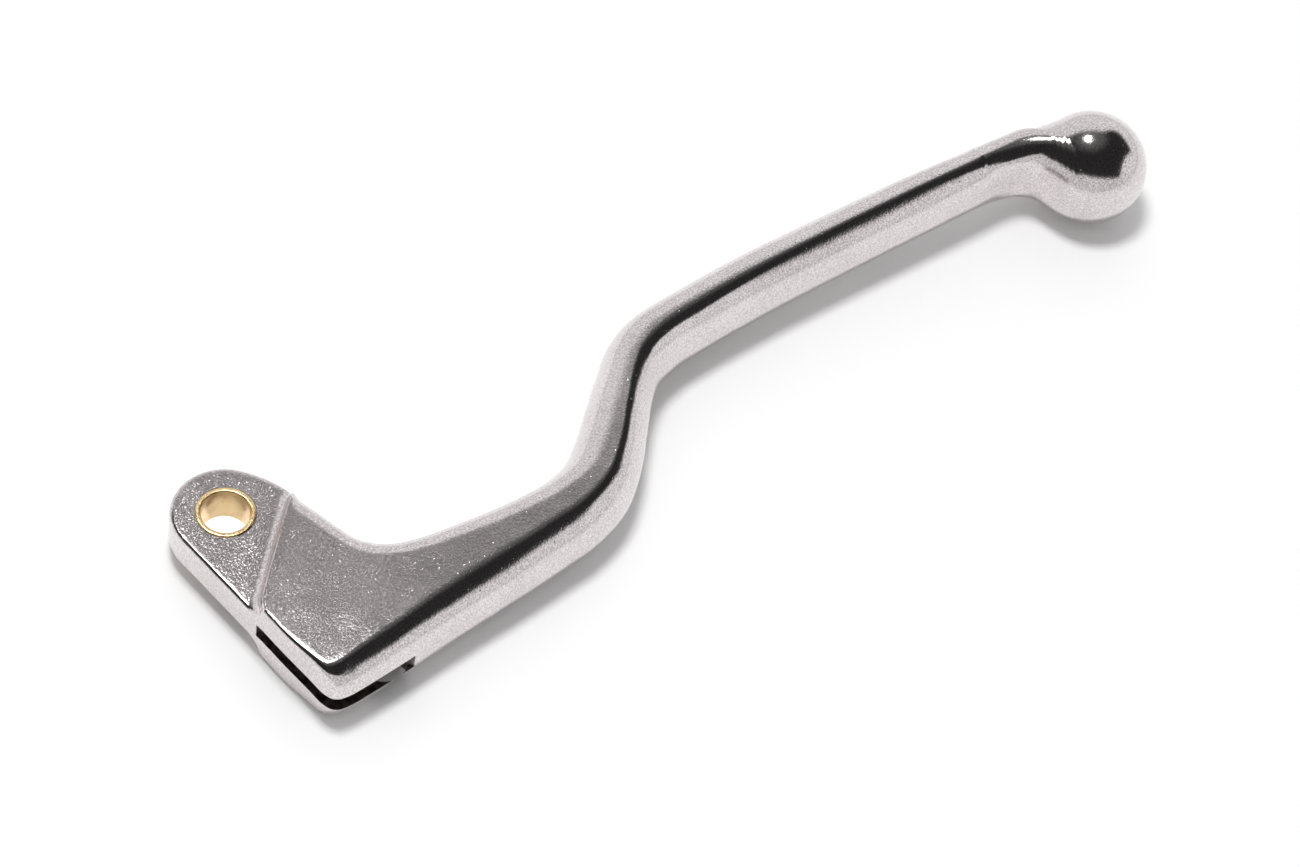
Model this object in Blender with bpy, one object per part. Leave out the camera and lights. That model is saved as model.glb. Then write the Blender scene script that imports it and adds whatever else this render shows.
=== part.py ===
"""Forged clutch lever with a pressed-in pivot bush.

The frame is the lever's own: the origin is on the pivot axis at the lever's mid-plane, +Z runs
along the pivot axis, +X points from the pivot to the ball and +Y towards the rider.
The sizes below are in millimetres, and MM turns them into Blender's metres.
"""

import math

import bmesh
import bpy
from mathutils import Vector

MM = 0.001

# Pivot eye: a flat tongue with a round end about the pivot axis.
EYE_RADIUS = 9.0
EYE_HALF_HEIGHT = 3.3
EYE_EDGE_RADIUS = 0.7

# The eye's round tip starts lower and reaches its full height over its first few cuts.
TIP_FIRST_SHARE = 0.5
TIP_CUTS = 4

# Pivot bush, and the hole that it sits in.
BUSH_OUTER_RADIUS = 4.9
BUSH_INNER_RADIUS = 4.0
BUSH_HALF_LENGTH = 3.45
BUSH_CHAMFER = 0.25
BUSH_CLEARANCE = 0.25
CUTTER_OVERSHOOT = 1.0

# Cable slot: a thin slit across the head's front-left corner, open on both sides of it.
SLOT_HEIGHT = 3.0
SLOT_LEFT_END = Vector((-4.75, -19.95))
SLOT_RIGHT_END = Vector((14.4, -37.0))
SLOT_REACH = 26.0

# Nipple bore: round and upright, open below, and ending inside the slot.
NIPPLE_CENTRE = (10.4, -33.8)
NIPPLE_RADIUS = 4.0
NIPPLE_TOP = 1.2

# Ball at the lever's tip.
BALL_CENTRE = Vector((171.1, 0.2))
BALL_RADIUS = 9.95

# The step between the eye and the head runs straight across the lever.
STEP_DIRECTION = Vector((-0.641, -0.767))
STEP_NORMAL = Vector((0.767, -0.641))
STEP_FOOT = 9.3

# The two sides that leave the eye: where each one starts and ends. The rear one bulges a little.
INBOARD_START = Vector((-8.78, -1.98))
INBOARD_END = Vector((-2.1, -36.7))
REAR_START = Vector((6.7, 6.01))
REAR_END = Vector((12.0, -2.7))
REAR_BULGE = 0.6

# Stations of the head and the blade. Each one is a cut across the lever:
# rear x, rear y, front x, front y, half height, rear depth, front depth, rear radius, front radius.
# A depth is how far a side bulges from the flat top; a radius is that of its upper corner.
STATIONS = (
    (11.9, -3.6, -4.9, -21.9, 6.3, 4.0, 1.0, 3.6, 0.9),
    (13.5, -7.1, -3.9, -27.5, 6.42, 4.4, 1.0, 3.8, 0.9),
    (15.0, -10.7, -2.75, -33.3, 6.5, 4.6, 1.7, 3.9, 1.2),
    (15.9, -12.7, -2.1, -36.7, 6.55, 4.7, 2.8, 3.9, 2.1),
    (16.6, -13.9, -1.0, -38.6, 6.6, 4.7, 4.6, 3.9, 3.6),
    (17.6, -15.0, 1.3, -39.1, 6.65, 4.7, 5.9, 3.9, 4.8),
    (19.2, -16.3, 5.6, -38.6, 6.71, 4.7, 6.4, 3.9, 5.2),
    (21.9, -17.5, 12.0, -37.6, 6.78, 4.7, 6.4, 3.9, 5.2),
    (25.5, -18.2, 19.5, -36.2, 6.86, 4.7, 6.2, 4.0, 4.8),
    (30.5, -18.4, 28.0, -34.7, 6.94, 4.8, 5.8, 4.0, 4.2),
    (37.0, -18.5, 37.0, -33.2, 7.0, 5.0, 5.4, 4.2, 3.6),
    (43.6, -18.2, 45.6, -31.6, 7.0, 5.2, 5.1, 4.3, 3.1),
    (49.2, -17.4, 53.4, -29.8, 7.0, 5.4, 4.9, 4.5, 2.8),
    (54.4, -15.3, 60.4, -26.4, 7.0, 5.8, 4.8, 4.7, 2.6),
    (59.2, -11.2, 66.2, -20.9, 7.0, 5.9, 4.8, 4.8, 2.7),
    (63.7, -6.6, 70.8, -15.0, 7.0, 5.8, 4.7, 4.8, 3.0),
    (68.3, -1.9, 74.9, -9.8, 7.0, 5.6, 4.6, 4.7, 3.3),
    (72.8, 2.3, 78.7, -6.3, 7.0, 5.5, 4.7, 4.6, 3.5),
    (78.4, 5.3, 82.9, -4.4, 7.0, 5.4, 4.7, 4.5, 3.5),
    (86.0, 6.9, 88.6, -3.1, 7.0, 5.4, 4.6, 4.4, 3.3),
    (101.7, 8.9, 103.0, -1.2, 7.0, 5.4, 4.5, 4.4, 2.6),
    (119.0, 10.2, 119.4, 0.3, 6.9, 5.4, 4.3, 4.3, 2.0),
    (136.0, 11.0, 136.0, 1.6, 6.8, 5.0, 4.2, 4.1, 2.0),
    (149.0, 10.9, 148.6, 2.6, 6.6, 4.2, 4.0, 3.6, 2.4),
    (157.0, 10.6, 155.4, 3.2, 6.6, 3.9, 3.9, 3.6, 3.3),
    (163.0, 10.4, 159.6, 1.9, 7.2, 4.6, 4.6, 4.0, 4.0),
)
BALL_REAR_ANGLE = 98.0
BALL_FRONT_ANGLE = 142.0
BALL_CORNER_SHARE = 0.4

# Mesh density.
CUTS_PER_STATION = 3
EYE_CUTS = 14
STEP_CUTS = 3
BALL_CUTS = 13
CORNER_SEGMENTS = 4
FACE_SEGMENTS = 3
TOP_SEGMENTS = 3
BORE_SEGMENTS = 48
SHARP_DEGREES = 35.0


def clear_scene():
    """Remove every object that the file opened with."""
    for existing in list(bpy.data.objects):
        bpy.data.objects.remove(existing, do_unlink=True)


def make_material(name, colour, roughness, metallic=1.0):
    """Return a Principled material with one colour, roughness and metallic value."""
    material = bpy.data.materials.new(name)
    material.use_nodes = True
    shader = material.node_tree.nodes["Principled BSDF"]
    shader.inputs["Base Color"].default_value = (*colour, 1.0)
    shader.inputs["Roughness"].default_value = roughness
    shader.inputs["Metallic"].default_value = metallic
    return material


def mesh_object(name, mesh_data, material=None):
    """Turn a bmesh in millimetres into a smooth-shaded object in metres."""
    bmesh.ops.scale(mesh_data, vec=(MM, MM, MM), verts=mesh_data.verts)
    bmesh.ops.recalc_face_normals(mesh_data, faces=mesh_data.faces)
    mesh = bpy.data.meshes.new(name)
    mesh_data.to_mesh(mesh)
    mesh_data.free()
    mesh.shade_smooth()
    mesh.set_sharp_from_angle(angle=math.radians(SHARP_DEGREES))
    made = bpy.data.objects.new(name, mesh)
    bpy.context.scene.collection.objects.link(made)
    if material:
        mesh.materials.append(material)
    return made


def make_cutter(name, mesh_data):
    """Return an object that only cuts others and is never part of the model."""
    cutter = mesh_object(name, mesh_data)
    cutter.hide_render = True
    cutter.display_type = "WIRE"
    return cutter


def cut_with(target, cutter):
    """Take the cutter's shape out of the target."""
    boolean = target.modifiers.new(cutter.name, "BOOLEAN")
    boolean.operation = "DIFFERENCE"
    boolean.solver = "EXACT"
    boolean.object = cutter


def side_profile(half_height, depth, corner_radius):
    """Return a side's points as (bulge, height), from the flat top down to the mid-plane.

    A small corner arc starts at the top, and a wider face arc carries on to the mid-plane.
    """
    slack = max(depth - corner_radius, 0.0)
    switch = math.pi / 2 - 2 * math.atan(slack / (half_height - corner_radius))
    points = []
    for step in range(CORNER_SEGMENTS):
        angle = switch * step / CORNER_SEGMENTS
        height = half_height - corner_radius * (1 - math.cos(angle))
        points.append((corner_radius * math.sin(angle), height))
    if slack < 1e-6:
        start = half_height - corner_radius
        for step in range(FACE_SEGMENTS + 1):
            points.append((depth, start * (1 - step / FACE_SEGMENTS)))
        return points
    face_radius = corner_radius + (half_height - corner_radius) / math.cos(switch)
    for step in range(FACE_SEGMENTS + 1):
        angle = switch + (math.pi / 2 - switch) * step / FACE_SEGMENTS
        bulge = depth - face_radius * (1 - math.sin(angle))
        points.append((bulge, face_radius * math.cos(angle)))
    return points


def station_ring(station):
    """Return the closed ring of points of one cut across the lever."""
    rear = Vector(station[0:2])
    front = Vector(station[2:4])
    half_height, rear_depth, front_depth, rear_radius, front_radius = station[4:9]
    across = (front - rear).normalized()
    width = (front - rear).length
    shrink = min(1.0, width / (rear_depth + front_depth))
    rear_depth *= shrink
    front_depth *= shrink
    rear_side = side_profile(half_height, rear_depth, min(rear_radius, rear_depth))
    front_side = side_profile(half_height, front_depth, min(front_radius, front_depth))
    rear_side = [(rear_depth - bulge, height) for bulge, height in reversed(rear_side)]
    front_side = [(width - front_depth + bulge, height) for bulge, height in front_side]
    flat = []
    for step in range(1, TOP_SEGMENTS):
        share = step / TOP_SEGMENTS
        flat.append((rear_side[-1][0] * (1 - share) + front_side[0][0] * share, half_height))
    upper = rear_side + flat + front_side
    lower = [(offset, -height) for offset, height in reversed(upper[1:-1])]
    ring = []
    for offset, height in upper + lower:
        place = rear + across * offset
        ring.append((place.x, place.y, height))
    return ring


def side_crossing(offset, side_start, side_end, arc_sign, bulge):
    """Return where the cut at an offset from the pivot meets one outline of the eye.

    The outline is the round end of the eye up to side_start, then the side with its bulge.
    The hump is 0 at both of the side's ends and 1 halfway.
    """
    if offset < side_start.dot(STEP_NORMAL):
        along = arc_sign * math.sqrt(max(EYE_RADIUS**2 - offset**2, 0.0))
        return STEP_NORMAL * offset + STEP_DIRECTION * along
    start_offset = side_start.dot(STEP_NORMAL)
    share = (offset - start_offset) / (side_end.dot(STEP_NORMAL) - start_offset)
    hump = 4 * share * (1 - share)
    swell = STEP_DIRECTION * (arc_sign * bulge * hump)
    return side_start.lerp(side_end, share) + swell


def eye_station(offset, half_height):
    """Return the cut across the eye at an offset from the pivot."""
    rear = side_crossing(offset, REAR_START, REAR_END, -1, REAR_BULGE)
    front = side_crossing(offset, INBOARD_START, INBOARD_END, 1, 0.0)
    edge = EYE_EDGE_RADIUS
    return (*rear, *front, half_height, edge, edge, edge, edge)


def eye_stations():
    """Return the cuts from the tip of the eye to the foot of the step."""
    cuts = []
    for step in range(1, EYE_CUTS + 1):
        angle = math.pi / 2 * step / EYE_CUTS
        offset = -EYE_RADIUS + (EYE_RADIUS + STEP_FOOT) * (1 - math.cos(angle))
        reached = min(1.0, TIP_FIRST_SHARE + step / TIP_CUTS)
        drop = EYE_EDGE_RADIUS * (1 - reached)
        cuts.append(eye_station(offset, EYE_HALF_HEIGHT - drop))
    return cuts


def smooth_step(share):
    """Ease from 0 to 1 with no slope at either end."""
    return share * share * (3 - 2 * share)


def step_stations(foot, top):
    """Return the cuts up the rounded ramp between the eye and the head."""
    cuts = []
    for step in range(1, STEP_CUTS + 1):
        share = step / (STEP_CUTS + 1)
        cut = [low + (high - low) * share for low, high in zip(foot, top)]
        cut[4] = foot[4] + (top[4] - foot[4]) * smooth_step(share)
        cuts.append(tuple(cut))
    return cuts


def ball_point(degrees):
    """Return the point of the ball's widest circle at an angle from +X."""
    angle = math.radians(degrees)
    return BALL_CENTRE + Vector((math.cos(angle), math.sin(angle))) * BALL_RADIUS


def ball_stations():
    """Return the cuts of the ball, from where the blade joins it to near its tip."""
    cuts = []
    for step in range(BALL_CUTS):
        left = 1 - step / BALL_CUTS
        rear = ball_point(BALL_REAR_ANGLE * left)
        front = ball_point(-BALL_FRONT_ANGLE * left)
        radius = (rear - front).length / 2
        corner = radius * BALL_CORNER_SHARE
        cuts.append((*rear, *front, radius, radius, radius, corner, corner))
    return cuts


def catmull_rom(before, start, end, after, share):
    """Return a value on the smooth curve between start and end."""
    slope_start = (end - before) / 2
    slope_end = (after - start) / 2
    square = share * share
    cube = square * share
    return (
        (2 * cube - 3 * square + 1) * start
        + (cube - 2 * square + share) * slope_start
        + (3 * square - 2 * cube) * end
        + (cube - square) * slope_end
    )


def body_stations(first_ball_cut):
    """Return the head's and the blade's cuts, smoothed through the table."""
    table = list(STATIONS) + [first_ball_cut]
    cuts = []
    for index in range(len(table) - 1):
        before = table[max(index - 1, 0)]
        start = table[index]
        end = table[index + 1]
        after = table[min(index + 2, len(table) - 1)]
        for step in range(CUTS_PER_STATION):
            share = step / CUTS_PER_STATION
            values = zip(before, start, end, after)
            cuts.append(tuple(catmull_rom(*four, share) for four in values))
    return cuts


def loft(rings, first_tip, last_tip):
    """Skin a row of rings and close both ends on a point."""
    mesh_data = bmesh.new()
    rows = [[mesh_data.verts.new(point) for point in ring] for ring in rings]
    count = len(rows[0])
    for row, following in zip(rows, rows[1:]):
        for index in range(count):
            after = (index + 1) % count
            mesh_data.faces.new((row[index], row[after], following[after], following[index]))
    for tip, row in ((first_tip, rows[0]), (last_tip, rows[-1])):
        pole = mesh_data.verts.new(tip)
        for index in range(count):
            mesh_data.faces.new((pole, row[index], row[(index + 1) % count]))
    return mesh_data


def forged_body():
    """Return the lever before machining: eye, step, head, blade and ball in one skin."""
    eye = eye_stations()
    ball = ball_stations()
    body = body_stations(ball[0])
    stations = eye + step_stations(eye[-1], body[0]) + body + ball
    rings = [station_ring(station) for station in stations]
    eye_tip = STEP_NORMAL * -EYE_RADIUS
    ball_tip = (BALL_CENTRE.x + BALL_RADIUS, BALL_CENTRE.y, 0.0)
    return loft(rings, (eye_tip.x, eye_tip.y, 0.0), ball_tip)


def upright_cylinder(centre, radius, bottom, top):
    """Return a closed upright cylinder."""
    mesh_data = bmesh.new()
    made = bmesh.ops.create_cone(
        mesh_data,
        cap_ends=True,
        segments=BORE_SEGMENTS,
        radius1=radius,
        radius2=radius,
        depth=top - bottom,
    )
    middle = (centre[0], centre[1], (top + bottom) / 2)
    bmesh.ops.translate(mesh_data, vec=middle, verts=made["verts"])
    return mesh_data


def slot_prism():
    """Return the flat block that cuts the cable slot across the head's corner."""
    along = (SLOT_RIGHT_END - SLOT_LEFT_END).normalized()
    outward = Vector((along.y, -along.x)) * SLOT_REACH
    outline = (
        SLOT_LEFT_END,
        SLOT_RIGHT_END,
        SLOT_RIGHT_END + outward,
        SLOT_LEFT_END + outward,
    )
    mesh_data = bmesh.new()
    floor = [mesh_data.verts.new((p.x, p.y, -SLOT_HEIGHT / 2)) for p in outline]
    face = mesh_data.faces.new(floor)
    made = bmesh.ops.extrude_face_region(mesh_data, geom=[face])
    raised = [item for item in made["geom"] if isinstance(item, bmesh.types.BMVert)]
    bmesh.ops.translate(mesh_data, vec=(0, 0, SLOT_HEIGHT), verts=raised)
    return mesh_data


def turned_bush():
    """Return the bush: a tube with its four rims chamfered."""
    end = BUSH_HALF_LENGTH
    shoulder = end - BUSH_CHAMFER
    inner = BUSH_INNER_RADIUS
    outer = BUSH_OUTER_RADIUS
    profile = (
        (outer, shoulder),
        (outer, -shoulder),
        (outer - BUSH_CHAMFER, -end),
        (inner + BUSH_CHAMFER, -end),
        (inner, -shoulder),
        (inner, shoulder),
        (inner + BUSH_CHAMFER, end),
        (outer - BUSH_CHAMFER, end),
    )
    mesh_data = bmesh.new()
    rings = []
    for step in range(BORE_SEGMENTS):
        angle = 2 * math.pi * step / BORE_SEGMENTS
        turn = (math.cos(angle), math.sin(angle))
        rings.append([mesh_data.verts.new((r * turn[0], r * turn[1], z)) for r, z in profile])
    corners = len(profile)
    for step, ring in enumerate(rings):
        following = rings[(step + 1) % BORE_SEGMENTS]
        for index in range(corners):
            after = (index + 1) % corners
            mesh_data.faces.new((ring[index], following[index], following[after], ring[after]))
    return mesh_data


def build_lever():
    """Build the lever and machine its bush hole, cable slot and nipple bore."""
    aluminium = make_material("polished_aluminium", (0.72, 0.70, 0.70), 0.22)
    lever = mesh_object("lever", forged_body(), aluminium)
    past = EYE_HALF_HEIGHT + CUTTER_OVERSHOOT
    hole_radius = BUSH_OUTER_RADIUS + BUSH_CLEARANCE
    bush_hole = upright_cylinder((0.0, 0.0), hole_radius, -past, past)
    cut_with(lever, make_cutter("bush_hole_cutter", bush_hole))
    bore = upright_cylinder(NIPPLE_CENTRE, NIPPLE_RADIUS, -BALL_RADIUS, NIPPLE_TOP)
    cut_with(lever, make_cutter("nipple_bore_cutter", bore))
    cut_with(lever, make_cutter("slot_cutter", slot_prism()))


def build_bush():
    """Build the pivot bush."""
    brass = make_material("bearing_brass", (0.80, 0.58, 0.27), 0.25)
    mesh_object("pivot_bush", turned_bush(), brass)


clear_scene()
build_lever()
build_bush()
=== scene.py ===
"""Looks of a forged aluminium clutch lever with a brass pivot bush.

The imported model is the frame. Its two solids are replaced by fine meshes made by the same design rule:
a lever skinned over a row of cuts, machined afterwards, and a turned bush. The sizes of the lever, the
bush and the finishes are in millimetres, with the heights of the finishes' patterns in micrometres, and
MM turns them into Blender's metres. The studio's are in metres and degrees, with its lens and sensor in
millimetres.
"""

import logging
import math
from dataclasses import dataclass
from enum import Enum

import bmesh
import bpy
from mathutils import Matrix, Vector


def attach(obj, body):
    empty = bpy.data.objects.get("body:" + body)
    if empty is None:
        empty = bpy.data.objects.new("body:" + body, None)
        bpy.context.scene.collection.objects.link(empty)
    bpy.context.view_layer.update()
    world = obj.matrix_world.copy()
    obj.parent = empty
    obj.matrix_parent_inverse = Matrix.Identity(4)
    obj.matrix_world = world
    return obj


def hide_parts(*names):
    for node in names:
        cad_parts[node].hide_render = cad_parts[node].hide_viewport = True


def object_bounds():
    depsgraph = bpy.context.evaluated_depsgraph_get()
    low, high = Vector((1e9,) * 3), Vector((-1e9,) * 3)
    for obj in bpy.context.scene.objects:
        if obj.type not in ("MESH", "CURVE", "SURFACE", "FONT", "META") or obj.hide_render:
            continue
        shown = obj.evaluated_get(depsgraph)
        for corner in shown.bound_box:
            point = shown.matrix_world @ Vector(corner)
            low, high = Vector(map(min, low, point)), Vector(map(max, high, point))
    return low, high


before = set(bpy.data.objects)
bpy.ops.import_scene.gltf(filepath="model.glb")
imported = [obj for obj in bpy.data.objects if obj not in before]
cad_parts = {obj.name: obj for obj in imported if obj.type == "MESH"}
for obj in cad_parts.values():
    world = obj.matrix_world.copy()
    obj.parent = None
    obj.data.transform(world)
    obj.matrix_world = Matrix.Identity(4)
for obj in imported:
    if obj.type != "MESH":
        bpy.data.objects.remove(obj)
CAD_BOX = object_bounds()

MM = 0.001
BODY = "root"
LOG = logging.getLogger("clutch_lever")

SAME_PLACE = 1e-4  # mm: points closer than this count as one
NO_SLACK = 1e-6  # mm: a side with less bulge than this beyond its corner is upright
TINY = 1e-9  # keeps a division away from zero
MERGE_DISTANCE = 0.001  # mm: the turned bush's doubled points are closer than this
NOISE_RANGE = (0.3, 0.7)  # where most of a noise pattern's values are

Profile = list[tuple[float, float]]
Ring = list[tuple[float, float, float]]


def catmull_rom(before: float, start: float, end: float, after: float, share: float) -> float:
    """Read a smooth curve through four values.

    Args:
        before: The value before the stretch.
        start: The value where the stretch starts.
        end: The value where the stretch ends.
        after: The value after the stretch.
        share: How far along the stretch, from 0 to 1.

    Returns:
        The value of the curve there.
    """
    slope_start = (end - before) / 2
    slope_end = (after - start) / 2
    square = share * share
    cube = square * share
    return (
        (2 * cube - 3 * square + 1) * start
        + (cube - 2 * square + share) * slope_start
        + (3 * square - 2 * cube) * end
        + (cube - square) * slope_end
    )


# ------------------------------------------------------------------------------------ node graphs


class Socket(Enum):
    """Kinds of value that a named input of a geometry tree can have."""

    GEOMETRY = "NodeSocketGeometry"
    NUMBER = "NodeSocketFloat"
    VECTOR = "NodeSocketVector"
    MATERIAL = "NodeSocketMaterial"


class Detail(Enum):
    """How many finer layers a noise pattern has."""

    PLAIN = 1.0
    USUAL = 2.0
    RICH = 3.0


def in_scene(name: str, data: bpy.types.ID) -> bpy.types.Object:
    """Return a new object that holds some data, linked into the scene."""
    thing = bpy.data.objects.new(name, data)
    bpy.context.scene.collection.objects.link(thing)
    return thing


class Graph:
    """A thin, readable layer over a node tree of either kind."""

    def __init__(self, tree: bpy.types.NodeTree) -> None:
        """Keep the tree that the nodes go into."""
        self.tree = tree

    def add(self, kind: str, inputs: dict | None = None, **settings: object) -> bpy.types.Node:
        """Add a node, set its own settings, and fill or link its inputs.

        Args:
            kind: The node's Blender type name.
            inputs: Input name or number to a value, or to an output socket to link from.
            **settings: Attributes of the node itself.

        Returns:
            The new node.
        """
        node = self.tree.nodes.new(kind)
        for name, value in settings.items():
            setattr(node, name, value)
        for key, value in (inputs or {}).items():
            self.feed(node.inputs[key], value)
        return node

    def feed(self, target: bpy.types.NodeSocket, value: object) -> None:
        """Give an input socket a value, or link it from an output socket."""
        if isinstance(value, bpy.types.NodeSocket):
            self.tree.links.new(value, target)
        else:
            target.default_value = value

    def math(self, operation: str, first: object, second: object = 0.0) -> bpy.types.NodeSocket:
        """Return the result of one arithmetic step on two numbers."""
        kind = "ShaderNodeMath"
        return self.add(kind, {0: first, 1: second}, operation=operation).outputs[0]


class GeometryTree(Graph):
    """A Geometry Nodes tree with named inputs, run once on a mesh and then dropped."""

    def __init__(self, name: str) -> None:
        """Start an empty tree with a geometry input and output."""
        super().__init__(bpy.data.node_groups.new(name, "GeometryNodeTree"))
        self.values: dict[str, object] = {}
        self.entry = self.tree.nodes.new("NodeGroupInput")
        self.exit = self.tree.nodes.new("NodeGroupOutput")
        self.tree.interface.new_socket("Geometry", in_out="INPUT", socket_type=Socket.GEOMETRY.value)
        self.tree.interface.new_socket("Geometry", in_out="OUTPUT", socket_type=Socket.GEOMETRY.value)

    def input(self, name: str, kind: Socket, value: object) -> bpy.types.NodeSocket:
        """Declare a named input.

        Args:
            name: The input's name.
            kind: What it holds.
            value: The value that this run gives it.

        Returns:
            The socket inside the tree that carries the value.
        """
        self.tree.interface.new_socket(name, in_out="INPUT", socket_type=kind.value)
        self.values[name] = value
        return self.entry.outputs[name]

    def source(self) -> bpy.types.NodeSocket:
        """Return the mesh that the tree is run on."""
        return self.entry.outputs["Geometry"]

    def finish(self, geometry: bpy.types.NodeSocket) -> None:
        """Send the result out of the tree."""
        self.tree.links.new(geometry, self.exit.inputs["Geometry"])

    def run(self, piece: bpy.types.Object) -> bpy.types.Object:
        """Apply the tree to an object and leave it with a plain mesh.

        Args:
            piece: The object whose mesh the tree reads.

        Returns:
            The same object, holding the result.
        """
        modifier = piece.modifiers.new(self.tree.name, "NODES")
        modifier.node_group = self.tree
        for item in self.tree.interface.items_tree:
            if item.in_out == "INPUT" and item.name in self.values:
                modifier[item.identifier] = self.values[item.name]
        evaluated = piece.evaluated_get(bpy.context.evaluated_depsgraph_get())
        result = bpy.data.meshes.new_from_object(evaluated)
        piece.modifiers.remove(modifier)
        piece.data = result
        return piece


class Surface(Graph):
    """The shader graph of one finish, with the patterns that all the finishes share."""

    def __init__(self, name: str, colour: tuple[float, float, float], metallic: float) -> None:
        """Start a Principled material whose uniform values sit on the shader's own sockets."""
        self.material = bpy.data.materials.new(name)
        self.material.use_nodes = True
        super().__init__(self.material.node_tree)
        self.shader = self.tree.nodes["Principled BSDF"]
        self.shader.inputs["Base Color"].default_value = (*colour, 1.0)
        self.shader.inputs["Metallic"].default_value = metallic
        self.place = self.add("ShaderNodeTexCoord").outputs["Object"]

    def mapped(self, scale: tuple[float, float, float], turn: float = 0.0) -> bpy.types.NodeSocket:
        """Return object coordinates stretched by scale and turned about Z by radians."""
        inputs = {"Vector": self.place, "Rotation": (0.0, 0.0, turn), "Scale": scale}
        return self.add("ShaderNodeMapping", inputs).outputs["Vector"]

    def noise(
        self, size: float, detail: Detail = Detail.USUAL, vector: object = None
    ) -> bpy.types.NodeSocket:
        """Return a soft random pattern.

        Args:
            size: The size of its features in millimetres.
            detail: How many finer layers it has.
            vector: Coordinates to use instead of the object's own.

        Returns:
            A number from 0 to 1.
        """
        place = self.place if vector is None else vector
        inputs = {"Vector": place, "Scale": 1 / (size * MM), "Detail": detail.value}
        return self.add("ShaderNodeTexNoise", inputs).outputs["Fac"]

    def cells(self, size: float) -> bpy.types.NodeSocket:
        """Return the distance to the middle of random cells of a size in millimetres."""
        inputs = {"Vector": self.place, "Scale": 1 / (size * MM)}
        return self.add("ShaderNodeTexVoronoi", inputs).outputs["Distance"]

    def spread(self, value: object, low: float, high: float, to_low: float, to_high: float) -> object:
        """Return a value moved from one range to another and held within it."""
        inputs = {"Value": value, 1: low, 2: high, 3: to_low, 4: to_high}
        return self.add("ShaderNodeMapRange", inputs, clamp=True).outputs["Result"]

    def bump(self, height: object, micrometres: float, below: object = None) -> bpy.types.NodeSocket:
        """Return a normal that a height pattern has disturbed.

        Args:
            height: The pattern, from 0 to 1.
            micrometres: Its height from lowest to highest.
            below: A normal that has been disturbed already.

        Returns:
            The new normal.
        """
        inputs = {"Height": height, "Distance": micrometres * MM * MM, "Strength": 1.0}
        if below is not None:
            inputs["Normal"] = below
        return self.add("ShaderNodeBump", inputs).outputs["Normal"]

    def tint(self, share: object, plain: tuple, other: tuple) -> bpy.types.NodeSocket:
        """Return a colour between two, by a share from 0 to 1."""
        return self.blend(share, (*plain, 1.0), other)

    def blend(self, share: object, below: object, colour: tuple) -> bpy.types.NodeSocket:
        """Lay a colour over another one.

        Args:
            share: How much of the upper colour shows, from 0 to 1.
            below: The lower colour, or the socket that carries it.
            colour: The upper colour.

        Returns:
            The mixed colour.
        """
        mixer = self.add("ShaderNodeMix", data_type="RGBA")
        self.feed(mixer.inputs["Factor"], share)
        self.feed(mixer.inputs["A"], below)
        self.feed(mixer.inputs["B"], (*colour, 1.0))
        return mixer.outputs["Result"]

    def dress(self, name: str, value: object) -> None:
        """Give one of the shader's inputs a value or a pattern."""
        self.feed(self.shader.inputs[name], value)


# ------------------------------------------------------------------------------------ finishes


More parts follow.
